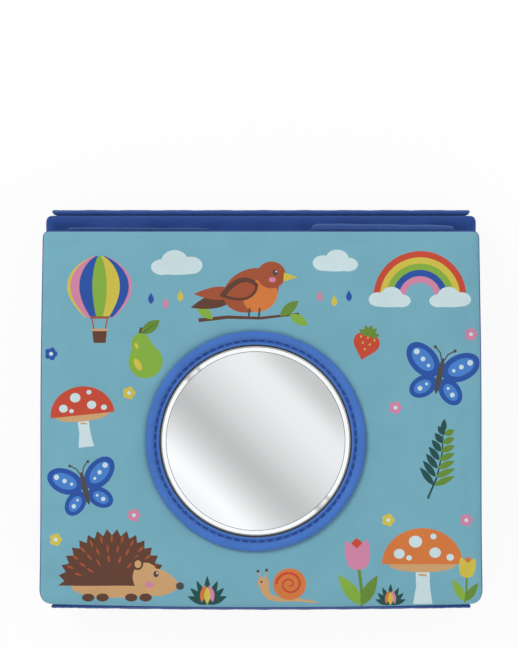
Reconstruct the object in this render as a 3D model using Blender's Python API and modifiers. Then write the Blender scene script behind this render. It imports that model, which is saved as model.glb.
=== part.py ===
# Soft three-panel book with a round mirror in its cover.
# The book lies closed: cover panel on top, middle panel under it, back panel on the ground.
# Metres, +Z up. The cover's fold is at -Y, the back panel's fold at +Y.
import math

import bmesh
import bpy

for old in list(bpy.data.objects):
    bpy.data.objects.remove(old, do_unlink=True)

# Driving sizes of the three padded panels
cover_width = 0.182
page_width = 0.177
fold_axis_span = 0.1610      # from the cover's fold axis to the back panel's fold axis
free_edge_setback = 0.0076   # how far a free edge stops short of the fold axis beside it
panel_thickness = 0.0112     # over the flat middle
edge_thickness = 0.0082      # over the sewn edge
crown_run = 0.019            # how far in from the edge the padding reaches full height
side_draw_in = 0.0006        # how far the sides pull in between the corners
free_edge_draw_in = 0.0015   # how far each side pulls in towards a free edge
upper_corner_radius = 0.0022  # corners at +Y, which are nearly square
lower_corner_radius = 0.0050  # corners at -Y
panel_gap = 0.0004           # between stacked panels

# Cloth, padding and clearances
cloth_thickness = 0.0010
band_thickness = 0.0011
fit_gap = 0.0003             # between neighbouring pieces
stitched_lip = 0.0007        # rounding of the cloth where it turns down to the edge band
film_thickness = 0.0005      # crackling film in the middle panel
film_inset = 0.012           # from the panel's edge

# Folds: a strip of cloth from one panel's edge to the next
fold_thickness = 0.0012
fold_bulge = 0.0008
fold_end_inset = 0.0025      # from the panel's side

# Mirror in the cover
mirror_offset_x = -0.0022
mirror_offset_y = -0.00965   # from the middle of the cover
mirror_radius = 0.0385
mirror_bevel = 0.0020
mirror_bevel_drop = 0.0010
mirror_rise = 0.0004         # face above the cloth
flange_width = 0.0040        # held behind the cloth
flange_thickness = 0.0008
board_thickness = 0.0012
ring_gap = 0.0009            # between the mirror's rim and its ring
ring_width = 0.0056
ring_height = 0.0022
window_margin = 0.0017       # between the mirror's rim and the cloth's window

# Closure strips on the two free edges
strip_width = 0.059
strip_reach = 0.0029
short_strip_reach = 0.0012    # of the cover's left strip, which barely shows
strip_thickness = 0.0022
strip_spacing = 0.100        # between the two strips' centres

# Fineness
cloth_steps = 14
foam_steps = 10
turn_steps = 48
rim_points = 7
strip_steps = 8
smooth_angle = math.radians(40)
merge_share = 0.0001         # of the mirror's radius, when turned faces are closed

# Worked out from the driving sizes
panel_pitch = panel_thickness + panel_gap
half_panel = panel_thickness / 2
half_edge = edge_thickness / 2
half_span = fold_axis_span / 2
axis_clearance = fold_thickness / 2 + fit_gap
back_mid_z = half_panel
middle_mid_z = back_mid_z + panel_pitch
cover_mid_z = middle_mid_z + panel_pitch
cover_free_y = half_span - free_edge_setback
back_free_y = -cover_free_y
ring_inner_radius = mirror_radius + ring_gap
ring_outer_radius = ring_inner_radius + ring_width
flange_radius = mirror_radius + flange_width
cloth_hole_radius = mirror_radius + window_margin
cutter_overrun = panel_thickness

parts = bpy.data.collections.new("baby_book")
cutters = bpy.data.collections.new("cutters")
bpy.context.scene.collection.children.link(parts)
bpy.context.scene.collection.children.link(cutters)


def material(name, colour, roughness, metallic=0.0):
    """A plain Principled material."""
    made = bpy.data.materials.new(name)
    made.use_nodes = True
    shader = made.node_tree.nodes["Principled BSDF"]
    shader.inputs["Base Color"].default_value = (*colour, 1.0)
    shader.inputs["Roughness"].default_value = roughness
    shader.inputs["Metallic"].default_value = metallic
    return made


def add_object(name, mesh, finish):
    """Put a mesh in the scene as one named piece; a shape with no finish is a cutter."""
    obj = bpy.data.objects.new(name, mesh)
    if finish is None:
        cutters.objects.link(obj)
        obj.hide_render = True
        obj.display_type = "WIRE"
    else:
        parts.objects.link(obj)
        mesh.materials.append(finish)
    return obj


def cut(obj, cutter):
    """Cut one piece by another shape."""
    boolean = obj.modifiers.new("cut", "BOOLEAN")
    boolean.operation = "DIFFERENCE"
    boolean.solver = "EXACT"
    boolean.object = cutter


def panel(low_y, high_y, width, mid_z, free_side):
    """The sizes that every layer of one padded panel shares; free_side is the way to its free edge."""
    return {"half_x": width / 2, "half_y": (high_y - low_y) / 2, "y": (low_y + high_y) / 2, "z": mid_z,
            "free_side": free_side}


def draw_in(shape, along):
    """How far the panel's sides pull in at a share of its length."""
    towards_free = max(along * shape["free_side"], 0)
    return side_draw_in * (1 - along ** 4) + free_edge_draw_in * towards_free ** 2


def outline_point(shape, across, along, inset):
    """A point of the panel's plan: sides drawn in between the corners, corners rounded."""
    draw = draw_in(shape, along)
    x = across * (shape["half_x"] - inset - draw)
    y = along * (shape["half_y"] - inset)
    radius = max((upper_corner_radius if along > 0 else lower_corner_radius) - inset, fit_gap)
    over_x = abs(x) - (shape["half_x"] - inset - draw - radius)
    over_y = abs(y) - (shape["half_y"] - inset - radius)
    if over_x > 0 and over_y > 0:
        reach = math.hypot(over_x, over_y)
        pull = max(over_x, over_y) / reach
        x -= math.copysign(over_x * (1 - pull), x)
        y -= math.copysign(over_y * (1 - pull), y)
    return x, y


def edge_distances(shape, x, y):
    """How far a point lies in from the panel's side and from its end."""
    draw = draw_in(shape, y / shape["half_y"])
    return shape["half_x"] - draw - abs(x), shape["half_y"] - abs(y)


def half_height(shape, x, y):
    """Half the panel's thickness at a point of its plan."""
    from_side, from_end = edge_distances(shape, x, y)
    return half_edge + (half_panel - half_edge) * crown_share(from_side) * crown_share(from_end)


def crown_share(distance):
    """How much of the crown has been reached at a distance from the edge, from 0 to 1."""
    share = min(max(distance / crown_run, 0.0), 1.0)
    return math.sin(share * math.pi / 2)


def lip_drop(shape, x, y, inset):
    """How far the cloth turns down right at the edge."""
    near = min(edge_distances(shape, x, y)) - inset
    return stitched_lip if near < fit_gap else 0.0


def slab_mesh(name, steps, place):
    """A closed slab made from a grid, denser near its edges; place() gives each point."""
    bm = bmesh.new()
    bmesh.ops.create_grid(bm, x_segments=steps, y_segments=steps, size=1.0)
    lifted = bmesh.ops.extrude_face_region(bm, geom=bm.faces[:], use_keep_orig=True)
    top = {item for item in lifted["geom"] if isinstance(item, bmesh.types.BMVert)}
    for vert in bm.verts:
        across = math.sin(vert.co.x * math.pi / 2)
        along = math.sin(vert.co.y * math.pi / 2)
        vert.co = place(across, along, vert in top)
    bmesh.ops.recalc_face_normals(bm, faces=bm.faces[:])
    mesh = bpy.data.meshes.new(name)
    bm.to_mesh(mesh)
    bm.free()
    mesh.shade_smooth()
    mesh.set_sharp_from_angle(angle=smooth_angle)
    return mesh


def panel_cloth(name, shape, side, finish):
    """One face cloth of a panel; side is 1 for its upper face and -1 for its lower face."""
    def place(across, along, is_top):
        x, y = outline_point(shape, across, along, 0.0)
        height = half_height(shape, x, y)
        if is_top:
            return x, y, side * (height - lip_drop(shape, x, y, 0.0))
        return x, y, side * (height - cloth_thickness - lip_drop(shape, x, y, 0.0) / 2)
    obj = add_object(name, slab_mesh(name, cloth_steps, place), finish)
    obj.location = (0, shape["y"], shape["z"])
    return obj


def panel_foam(name, shape, low_share, high_share, finish):
    """The padding between the two face cloths, or the layer of it between two shares of its depth."""
    inset = band_thickness + fit_gap

    def place(across, along, is_top):
        x, y = outline_point(shape, across, along, inset)
        height = half_height(shape, x, y) - cloth_thickness - fit_gap - lip_drop(shape, x, y, inset) / 2
        return x, y, height * (high_share if is_top else low_share)
    obj = add_object(name, slab_mesh(name, foam_steps, place), finish)
    obj.location = (0, shape["y"], shape["z"])
    return obj


def panel_band(name, shape, finish):
    """The edging that runs round the panel between its two face cloths."""
    half_height_of_band = half_edge - cloth_thickness - stitched_lip / 2 - fit_gap

    def place_outer(across, along, is_top):
        x, y = outline_point(shape, across, along, 0.0)
        return x, y, half_height_of_band if is_top else -half_height_of_band

    def place_inner(across, along, is_top):
        x, y = outline_point(shape, across, along, band_thickness)
        return x, y, cutter_overrun if is_top else -cutter_overrun
    obj = add_object(name, slab_mesh(name, cloth_steps, place_outer), finish)
    hollow = add_object(name + "_hollow", slab_mesh(name + "_hollow", cloth_steps, place_inner), None)
    for item in (obj, hollow):
        item.location = (0, shape["y"], shape["z"])
    cut(obj, hollow)
    return obj


def turned(name, points, finish, centre, is_loop=False):
    """A round piece turned about +Z from points of radius and height, a line or a loop."""
    edges = [(i, i + 1) for i in range(len(points) - 1)]
    if is_loop:
        edges.append((len(points) - 1, 0))
    mesh = bpy.data.meshes.new(name)
    mesh.from_pydata([(radius, 0, height) for radius, height in points], edges, [])
    obj = add_object(name, mesh, finish)
    screw = obj.modifiers.new("turn", "SCREW")
    screw.axis = "Z"
    screw.steps = turn_steps
    screw.render_steps = turn_steps
    screw.use_merge_vertices = True
    screw.merge_threshold = merge_share * mirror_radius
    screw.use_smooth_shade = True
    obj.location = centre
    return obj


def fold_strip(name, y, low_z, high_z, outward, finish):
    """The cloth of a fold, a strip standing between the edges of two panels."""
    half_x = page_width / 2 - fold_end_inset
    half_z = (high_z - low_z + fold_thickness) / 2

    def place(across, along, is_top):
        rounding = math.sqrt(max(1 - along ** 6, 0.0))
        middle = fold_bulge * (1 - along * along)
        offset = fold_thickness / 2 * max(rounding, fit_gap / fold_thickness)
        return across * half_x, outward * (middle + (offset if is_top else -offset)), along * half_z
    obj = add_object(name, slab_mesh(name, strip_steps, place), finish)
    obj.location = (0, y, (low_z + high_z) / 2)
    return obj


def block_mesh(name, size):
    """A plain block about its own centre."""
    bm = bmesh.new()
    bmesh.ops.create_cube(bm, size=1.0)
    bmesh.ops.scale(bm, vec=size, verts=bm.verts)
    mesh = bpy.data.meshes.new(name)
    bm.to_mesh(mesh)
    bm.free()
    return mesh


def closure_strip(name, x, edge_y, outward, mid_z, reach, finish):
    """A gripping strip sewn along a free edge, with a rolled outer bead."""
    mesh = block_mesh(name, (strip_width, reach, strip_thickness))
    mesh.shade_smooth()
    obj = add_object(name, mesh, finish)
    obj.location = (x, edge_y + outward * (fit_gap + reach / 2), mid_z)
    bevel = obj.modifiers.new("rolled edge", "BEVEL")
    bevel.width = min(reach, strip_thickness) / 3
    bevel.segments = 3
    return obj


# Materials
teal_cloth = material("teal printed cloth", (0.162, 0.392, 0.491), 0.85)
cobalt_cloth = material("cobalt cloth", (0.017, 0.080, 0.352), 0.85)
ring_cloth = material("blue padded binding", (0.045, 0.156, 0.515), 0.80)
page_cloth = material("printed page cloth", (0.030, 0.110, 0.380), 0.85)
foam_white = material("white padding", (0.800, 0.790, 0.760), 0.95)
mirror_silver = material("mirror face", (0.820, 0.830, 0.850), 0.08, 1.0)
board_grey = material("grey backing board", (0.300, 0.300, 0.290), 0.70)
film_clear = material("crackling film", (0.650, 0.680, 0.700), 0.30)
grip_blue = material("gripping strip", (0.045, 0.126, 0.402), 0.90)

# Panels, from fold to free edge
lower_nose_y = -half_span + axis_clearance
upper_nose_y = half_span - axis_clearance
cover = panel(lower_nose_y, cover_free_y, cover_width, cover_mid_z, 1)
middle = panel(lower_nose_y, upper_nose_y, page_width, middle_mid_z, 0)
back = panel(back_free_y, upper_nose_y, page_width, back_mid_z, -1)


def make_cover_panel():
    """Cover: printed cloth with a round window, mirror behind it, padding and edging."""
    front = panel_cloth("cover_front_cloth", cover, 1, teal_cloth)
    panel_cloth("cover_inner_page", cover, -1, page_cloth)
    panel_band("cover_edge_band", cover, cobalt_cloth)
    foam = panel_foam("cover_foam", cover, -1, 1, foam_white)
    centre = (mirror_offset_x, cover["y"] + mirror_offset_y, cover_mid_z)
    window = [(0, cutter_overrun), (cloth_hole_radius, cutter_overrun), (cloth_hole_radius, 0), (0, 0)]
    cut(front, turned("window_cutter", window, None, centre))
    flange_top = half_panel - cloth_thickness - fit_gap
    flange_low = flange_top - flange_thickness
    board_top = flange_low - fit_gap
    board_low = board_top - board_thickness
    pocket_radius = flange_radius + fit_gap
    pocket_floor = board_low - fit_gap
    pocket = [(0, cutter_overrun), (pocket_radius, cutter_overrun), (pocket_radius, pocket_floor),
              (0, pocket_floor)]
    cut(foam, turned("pocket_cutter", pocket, None, centre))
    face_z = half_panel + mirror_rise
    plate = [(0, face_z), (mirror_radius - mirror_bevel, face_z),
             (mirror_radius, face_z - mirror_bevel_drop), (mirror_radius, flange_top),
             (flange_radius, flange_top), (flange_radius, flange_low), (0, flange_low)]
    turned("mirror_plate", plate, mirror_silver, centre)
    board = [(0, board_top), (flange_radius, board_top), (flange_radius, board_low), (0, board_low)]
    turned("mirror_backing_board", board, board_grey, centre)
    make_mirror_ring(centre)
    closure_strip("cover_closure_strip_left", -strip_spacing / 2, cover_free_y, 1, cover_mid_z,
                  short_strip_reach, grip_blue)
    closure_strip("cover_closure_strip_right", strip_spacing / 2, cover_free_y, 1, cover_mid_z,
                  strip_reach, grip_blue)


def make_mirror_ring(centre):
    """The padded binding round the mirror, half round in section."""
    ring_middle = (ring_inner_radius + ring_outer_radius) / 2
    half_width = (ring_outer_radius - ring_inner_radius) / 2
    seat_z = half_panel + fit_gap
    points = []
    for i in range(rim_points):
        angle = math.pi * i / (rim_points - 1)
        points.append((ring_middle + half_width * math.cos(angle), seat_z + ring_height * math.sin(angle)))
    turned("mirror_ring", list(reversed(points)), ring_cloth, centre, is_loop=True)


def make_middle_panel():
    """Middle panel: two page cloths, edging, and padding with a film that crackles in it."""
    panel_cloth("middle_upper_page", middle, 1, page_cloth)
    panel_cloth("middle_lower_page", middle, -1, page_cloth)
    panel_band("middle_edge_band", middle, cobalt_cloth)
    foam_half = half_panel - cloth_thickness - fit_gap
    film_room_share = (film_thickness / 2 + fit_gap) / foam_half
    panel_foam("middle_upper_foam", middle, film_room_share, 1, foam_white)
    panel_foam("middle_lower_foam", middle, -1, -film_room_share, foam_white)
    size = (page_width - 2 * film_inset, 2 * (middle["half_y"] - film_inset), film_thickness)
    film = add_object("crinkle_film", block_mesh("crinkle_film", size), film_clear)
    film.location = (0, middle["y"], middle["z"])


def make_back_panel():
    """Back panel: two page cloths, edging and padding, with grips on its free edge."""
    panel_cloth("back_upper_page", back, 1, page_cloth)
    panel_cloth("back_lower_page", back, -1, page_cloth)
    panel_band("back_edge_band", back, cobalt_cloth)
    panel_foam("back_foam", back, -1, 1, foam_white)
    for side, x in (("left", -strip_spacing / 2), ("right", strip_spacing / 2)):
        closure_strip("back_closure_strip_" + side, x, back_free_y, -1, back_mid_z, strip_reach, grip_blue)


make_cover_panel()
make_middle_panel()
make_back_panel()
fold_strip("cover_fold_cloth", -half_span, middle_mid_z, cover_mid_z, -1, cobalt_cloth)
fold_strip("back_fold_cloth", half_span, back_mid_z, middle_mid_z, 1, cobalt_cloth)
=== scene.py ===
import math

import bmesh
import bpy
import numpy as np
from mathutils import Matrix, Vector
from mathutils.bvhtree import BVHTree
from mathutils.geometry import delaunay_2d_cdt
from mathutils.interpolate import poly_3d_calc


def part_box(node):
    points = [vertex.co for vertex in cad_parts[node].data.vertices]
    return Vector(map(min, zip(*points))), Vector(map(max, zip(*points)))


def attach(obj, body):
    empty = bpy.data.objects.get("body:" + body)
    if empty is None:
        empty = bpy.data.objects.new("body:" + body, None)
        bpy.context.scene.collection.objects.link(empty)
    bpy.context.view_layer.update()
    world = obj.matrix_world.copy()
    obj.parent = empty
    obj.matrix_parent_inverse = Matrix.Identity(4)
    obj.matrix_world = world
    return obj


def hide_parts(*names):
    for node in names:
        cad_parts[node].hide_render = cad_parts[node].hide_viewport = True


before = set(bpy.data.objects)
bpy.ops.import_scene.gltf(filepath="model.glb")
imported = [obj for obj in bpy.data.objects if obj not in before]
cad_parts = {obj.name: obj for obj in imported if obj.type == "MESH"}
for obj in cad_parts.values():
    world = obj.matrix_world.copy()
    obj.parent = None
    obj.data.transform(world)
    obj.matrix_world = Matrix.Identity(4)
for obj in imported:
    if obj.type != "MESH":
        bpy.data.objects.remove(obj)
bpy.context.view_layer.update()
scene = bpy.context.scene

# Studio: a pale floor under the closed book, a soft key lamp from the upper left and a white room.
# The camera looks straight down on the cover, framed as the photograph is, 518 by 648 pixels.
image_width_px = 518
image_height_px = 648
mm_per_px = 0.409
cover_middle_px = 261
cover_top_edge_px = 231
camera_height = 2.4
sensor_height_mm = 24
cover_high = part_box("cover_front_cloth")[1]
px = mm_per_px / 1000
view_x = (image_width_px / 2 - cover_middle_px) * px
view_y = cover_high[1] - (image_height_px / 2 - cover_top_edge_px) * px

camera = bpy.data.objects.new("camera", bpy.data.cameras.new("camera"))
scene.collection.objects.link(camera)
camera.location = (view_x, view_y, cover_high[2] + camera_height)
camera.data.type = "PERSP"
camera.data.sensor_fit = "VERTICAL"
camera.data.sensor_height = sensor_height_mm
camera.data.lens = sensor_height_mm * camera_height / (image_height_px * px)
camera.data.clip_start = 0.01
camera.data.clip_end = 20
scene.camera = camera
scene.view_settings.view_transform = "Standard"


def set_inputs(node, inputs):
    """Give inputs of a node their values, or link them to an output socket or a node's first output."""
    for socket, value in inputs.items():
        if isinstance(value, bpy.types.Node):
            value = value.outputs[0]
        if isinstance(value, bpy.types.NodeSocket):
            node.id_data.links.new(value, node.inputs[socket])
        else:
            node.inputs[socket].default_value = value


def add_node(tree, kind, inputs=None, **settings):
    """A node with its settings and inputs."""
    made = tree.nodes.new(kind)
    for setting, value in settings.items():
        setattr(made, setting, value)
    set_inputs(made, inputs or {})
    return made


def maths(tree, operation, *values):
    """A maths node."""
    return add_node(tree, "ShaderNodeMath", dict(enumerate(values)), operation=operation)


def principled(name, colour, roughness, metallic=0.0):
    """A material with its Principled shader, and the tree to add nodes to."""
    made = bpy.data.materials.new(name)
    made.use_nodes = True
    shader = made.node_tree.nodes["Principled BSDF"]
    set_inputs(shader, {"Base Color": (*colour, 1), "Roughness": roughness, "Metallic": metallic})
    return made, made.node_tree, shader


def mesh_object(name, vertices, faces, closed=False):
    """A smooth mesh object at the origin, with its place in its vertices. A closed one faces outward."""
    mesh = bpy.data.meshes.new(name)
    mesh.from_pydata([tuple(v) for v in vertices], [], [tuple(f) for f in faces])
    mesh.update()
    mesh.shade_smooth()
    obj = bpy.data.objects.new(name, mesh)
    scene.collection.objects.link(obj)
    if closed:
        bm = bmesh.new()
        bm.from_mesh(mesh)
        bmesh.ops.recalc_face_normals(bm, faces=bm.faces[:])
        bm.to_mesh(mesh)
        bm.free()
    return obj


floor_half = 3.0
floor_z = -0.0001
floor_glow = 0.91
floor_corners = [(x * floor_half, y * floor_half, floor_z) for x, y in ((-1, -1), (1, -1), (1, 1), (-1, 1))]
floor = mesh_object("floor", floor_corners, [(0, 1, 2, 3)])
floor_finish, floor_tree, floor_shader = principled("pale floor", (0.93, 0.93, 0.93), 0.9)
floor_white = add_node(floor_tree, "ShaderNodeEmission", {"Strength": 1.0})
floor_paths = add_node(floor_tree, "ShaderNodeLightPath").outputs
floor_share = maths(floor_tree, "MULTIPLY", floor_paths["Is Camera Ray"], floor_glow)
floor_mix = add_node(floor_tree, "ShaderNodeMixShader", {"Fac": floor_share, 1: floor_shader, 2: floor_white})
set_inputs(floor_tree.nodes["Material Output"], {"Surface": floor_mix})
floor.data.materials.append(floor_finish)


def area_lamp(name, place, target, size, watts):
    """A soft square lamp that points at a place."""
    lamp = bpy.data.objects.new(name, bpy.data.lights.new(name, "AREA"))
    lamp.data.size = size
    lamp.data.energy = watts
    lamp.location = place
    lamp.rotation_euler = (Vector(target) - Vector(place)).to_track_quat("-Z", "Y").to_euler()
    scene.collection.objects.link(lamp)


area_lamp("key_lamp", (-0.9, 0.8, 1.3), (0, 0, 0), 0.7, 10.5)
area_lamp("fill_lamp", (1.1, -0.7, 1.0), (0, 0, 0), 1.2, 4.0)


def white_room(daylight, mirrored, reach, tilt):
    """An even pale room, with soft diagonal bands of grey overhead in what shiny things mirror."""
    world = bpy.data.worlds.new("white room")
    scene.world = world
    world.use_nodes = True
    tree = world.node_tree
    even = tree.nodes["Background"]
    set_inputs(even, {"Color": (1, 1, 1, 1), "Strength": daylight})
    where = add_node(tree, "ShaderNodeTexCoord").outputs["Generated"]
    diagonal = (math.sqrt(0.5), math.sqrt(0.5), 0)
    along = add_node(tree, "ShaderNodeVectorMath", {0: where, 1: diagonal}, operation="DOT_PRODUCT")
    spread = add_node(tree, "ShaderNodeMapRange",
                      {"Value": along.outputs["Value"], "From Min": -reach - tilt, "From Max": reach - tilt})
    tones = add_node(tree, "ShaderNodeValToRGB", {"Fac": spread})
    ramp = tones.color_ramp
    ramp.interpolation = "CARDINAL"
    stops = ((0.0, 0.90), (0.21, 0.90), (0.262, 0.84), (0.30, 0.93), (0.335, 0.81), (0.37, 0.65), (0.433, 0.50),
             (0.50, 0.61), (0.567, 0.73), (0.635, 0.80), (0.67, 0.74), (0.738, 0.53), (0.80, 0.90), (1.0, 0.90))
    while len(ramp.elements) < len(stops):
        ramp.elements.new(0.5)
    for element, (place, tone) in zip(ramp.elements, stops):
        element.position = place
        element.color = (tone, tone, tone, 1)
    seen = add_node(tree, "ShaderNodeBackground", {"Color": tones, "Strength": mirrored})
    white = add_node(tree, "ShaderNodeBackground", {"Color": (1, 1, 1, 1), "Strength": 1.0})
    paths = add_node(tree, "ShaderNodeLightPath").outputs
    glossy = add_node(tree, "ShaderNodeMixShader", {"Fac": paths["Is Glossy Ray"], 1: even, 2: seen})
    sees = add_node(tree, "ShaderNodeMixShader", {"Fac": paths["Is Camera Ray"], 1: glossy, 2: white})
    set_inputs(tree.nodes["World Output"], {"Surface": sees})


white_room(daylight=0.70, mirrored=1.22, reach=0.107, tilt=0.014)

# Cover panel: a printed teal face cloth, a cobalt page cloth inside and a cobalt edge band, sewn round
# soft padding. The padding is blown up a little against its sewn edges, as stuffing does, and then the
# three cloths are laid over it.
cell = 0.0026
wall_rows = 4
crown_run = 0.019
edge_drop = 0.0015
side_draw_in = 0.0006
free_edge_draw_in = 0.0015
upper_corner_radius = 0.0022
lower_corner_radius = 0.0050
edge_roll = 0.0032
roll_drop = 0.0013
lip_run = 0.014
lip_end_share = 0.25
band_bulge = 0.00025
band_hollow = 0.0004
settled_share = 0.4
edge_hold = 0.007
furthest_move = 0.0012
sideways_share = 0.4
cloth_frames = 20
cloth_thickness = 0.0009
cloth_crease_degrees = 50
padding_inset = 0.0012
mirror_low, mirror_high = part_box("mirror_plate")
mirror_middle = ((mirror_low[0] + mirror_high[0]) / 2, (mirror_low[1] + mirror_high[1]) / 2)
ring_low, ring_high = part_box("mirror_ring")
ring_radius = (ring_high[0] - ring_low[0]) / 2
window_radius = 0.0412
window_floor = -0.0034


class Panel:
    """The plan and the section of one padded panel, from its CAD pieces."""

    def __init__(self, upper, band, free_side, lip=0.0):
        low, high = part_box(upper)
        band_low, band_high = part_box(band)
        self.x = (low[0] + high[0]) / 2
        self.y = (low[1] + high[1]) / 2
        self.z = (band_low[2] + band_high[2]) / 2
        self.half_x = (high[0] - low[0]) / 2
        self.half_y = (high[1] - low[1]) / 2
        self.half_z = high[2] - self.z
        self.half_edge = self.half_z - edge_drop
        self.free_side = free_side
        self.lip = lip

    def overhang(self, x, y):
        """How far the upper cloth is pushed out over the edge that turns, most in the edge's middle."""
        near = max(1 - (self.half_y + y * self.free_side) / lip_run, 0)
        return -self.free_side * self.lip * near ** 2 * (1 - (1 - lip_end_share) * (x / self.half_x) ** 2)

    def half_width(self, along):
        """Half the width at a share of the length: drawn in between the corners and towards a free edge."""
        towards_free = max(along * self.free_side, 0)
        return self.half_x - side_draw_in * (1 - along ** 4) - free_edge_draw_in * towards_free ** 2

    def past_corner(self, x, y):
        """A corner's radius, and how far a point lies past the start of its arc, across and along."""
        radius = upper_corner_radius if y > 0 else lower_corner_radius
        return radius, abs(x) - (self.half_width(y / self.half_y) - radius), abs(y) - (self.half_y - radius)

    def outline(self, across, along):
        """A point of the plan for shares of the half width and half length."""
        x = across * self.half_width(along)
        y = along * self.half_y
        radius, over_x, over_y = self.past_corner(x, y)
        if over_x > 0 and over_y > 0:
            pull = max(over_x, over_y) / math.hypot(over_x, over_y)
            x -= math.copysign(over_x * (1 - pull), x)
            y -= math.copysign(over_y * (1 - pull), y)
        return x, y

    def edge_depth(self, x, y):
        """How far in from the rounded outline a point lies."""
        radius, over_x, over_y = self.past_corner(x, y)
        return radius - math.hypot(max(over_x, 0), max(over_y, 0)) - min(max(over_x, over_y), 0)

    def height(self, x, y):
        """Half the thickness at a point: flat in the middle, crowned to the edge, rolled over it."""
        rise = 1.0
        for depth in (self.half_width(y / self.half_y) - abs(x), self.half_y - abs(y)):
            rise *= math.sin(min(max(depth / crown_run, 0), 1) * math.pi / 2)
        roll = min(max(1 - self.edge_depth(x, y) / edge_roll, 0), 1)
        crown = (self.half_z - self.half_edge) * rise
        return self.half_edge + crown - roll_drop * (1 - math.sqrt(1 - roll * roll))


def even_shares(count):
    """Shares from -1 to 1, a little closer near the ends."""
    steps = np.linspace(-1, 1, count + 1)
    return 0.72 * steps + 0.28 * np.sin(steps * math.pi / 2)


def two_sides(columns, rows):
    """The faces of two like grids back to back, taken by turns, with the rim and the size of the first."""
    stride = columns + 1
    size = stride * (rows + 1)
    faces = []
    for a in (j * stride + i for j in range(rows) for i in range(columns)):
        faces.append((a, a + 1, a + stride + 1, a + stride))
        faces.append((size + a, size + a + stride, size + a + stride + 1, size + a + 1))
    rim = [i for i in range(columns)] + [j * stride + columns for j in range(rows)]
    rim += [rows * stride + columns - i for i in range(columns)] + [(rows - j) * stride for j in range(rows)]
    return faces, rim, size


def panel_body(name, panel):
    """The closed form of a padded panel, with face groups 0 upper, 1 band and 2 lower."""
    columns = round(2 * panel.half_x / cell)
    rows = round(2 * panel.half_y / cell)
    faces, rim, lower = two_sides(columns, rows)
    groups = [0, 2] * (columns * rows)
    points = []
    for side in (1, -1):
        for v in even_shares(rows):
            for u in even_shares(columns):
                x, y = panel.outline(u, v)
                pushed = panel.overhang(x, y) if side > 0 else 0.0
                points.append((x, y + pushed, side * panel.height(x, y)))
    rings = [rim]
    for k in range(1, wall_rows):
        ring = []
        share = k / wall_rows
        bulge = band_bulge * math.sin(share * math.pi)
        hollow = -band_hollow * math.sin(share * math.pi)
        for index in rim:
            top = Vector(points[index])
            out = Vector((top.x / panel.half_x, top.y / panel.half_y, 0))
            out = Vector((math.copysign(abs(out.x) ** 8, out.x), math.copysign(abs(out.y) ** 8, out.y), 0))
            out = out.normalized() * bulge
            if top.y * panel.free_side <= 0:
                out.y *= hollow / bulge
            place = top + out
            place.y += (points[lower + index][1] - top.y) * min(share / settled_share, 1)
            place.z = top.z * (1 - 2 * share)
            ring.append(len(points))
            points.append(tuple(place))
        rings.append(ring)
    rings.append([lower + index for index in rim])
    for upper_ring, lower_ring in zip(rings, rings[1:]):
        for i in range(len(rim)):
            j = (i + 1) % len(rim)
            faces.append((upper_ring[i], lower_ring[i], lower_ring[j], upper_ring[j]))
            groups.append(1)
    body = mesh_object(name, points, faces)
    plan = body.data.attributes.new("plan", "FLOAT_VECTOR", "POINT")
    plan.data.foreach_set("vector", np.array(points, np.float32).ravel())
    body.data.polygons.foreach_set("material_index", np.array(groups, np.int32))
    for kind in ("upper", "band", "lower"):
        body.data.materials.append(None)
    return body, rim + rings[-1]


def blow_up(body, seam, panel, still=None):
    """Cloth under a little pressure, held along its seams, applied and capped. Its moves die out towards
    the edges, which stay straight."""
    rest = np.array([v.co for v in body.data.vertices])
    held = body.vertex_groups.new(name="held")
    fixed = set(seam)
    if still is not None:
        fixed |= {i for i, p in enumerate(rest) if still(p)}
    held.add(sorted(fixed), 1.0, "REPLACE")
    cloth = body.modifiers.new("padding", "CLOTH")
    settings = cloth.settings
    settings.quality = 4
    settings.mass = 0.15
    settings.tension_stiffness = 12
    settings.compression_stiffness = 12
    settings.shear_stiffness = 4
    settings.bending_stiffness = 0.3
    settings.use_pressure = True
    settings.uniform_pressure_force = 4
    settings.shrink_min = -0.012
    settings.vertex_group_mass = "held"
    settings.effector_weights.gravity = 0
    cloth.collision_settings.use_collision = False
    cloth.point_cache.frame_start = 1
    cloth.point_cache.frame_end = cloth_frames
    for step in range(1, cloth_frames + 1):
        scene.frame_set(step)
    evaluated = body.evaluated_get(bpy.context.evaluated_depsgraph_get())
    move = np.array([v.co for v in evaluated.data.vertices]) - rest
    body.modifiers.remove(cloth)
    scene.frame_set(1)
    body.vertex_groups.remove(held)
    length = np.maximum(np.linalg.norm(move, axis=1, keepdims=True), 1e-9)
    move *= np.minimum(1, furthest_move / length)
    move[:, :2] *= sideways_share
    depth = np.array([panel.edge_depth(x, y) for x, y, z in rest])
    ease = np.clip(depth / edge_hold, 0, 1)[:, None]
    move *= ease * ease * (3 - 2 * ease)
    placed_at = rest + move
    placed_at[:, 2] = np.clip(placed_at[:, 2], -panel.half_z, panel.half_z)
    body.data.vertices.foreach_set("co", placed_at.astype(np.float32).ravel())
    body.data.update()


def smoothed(body):
    """The body with one Catmull-Clark subdivision applied."""
    subdivide = body.modifiers.new("smooth", "SUBSURF")
    subdivide.levels = 1
    subdivide.render_levels = 1
    return apply_modifiers(body)


def apply_modifiers(obj):
    """Turn an object's modifiers into its plain mesh."""
    bpy.context.view_layer.update()
    evaluated = obj.evaluated_get(bpy.context.evaluated_depsgraph_get())
    plain = bpy.data.meshes.new_from_object(evaluated)
    obj.modifiers.clear()
    obj.data = plain
    return obj


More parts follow.
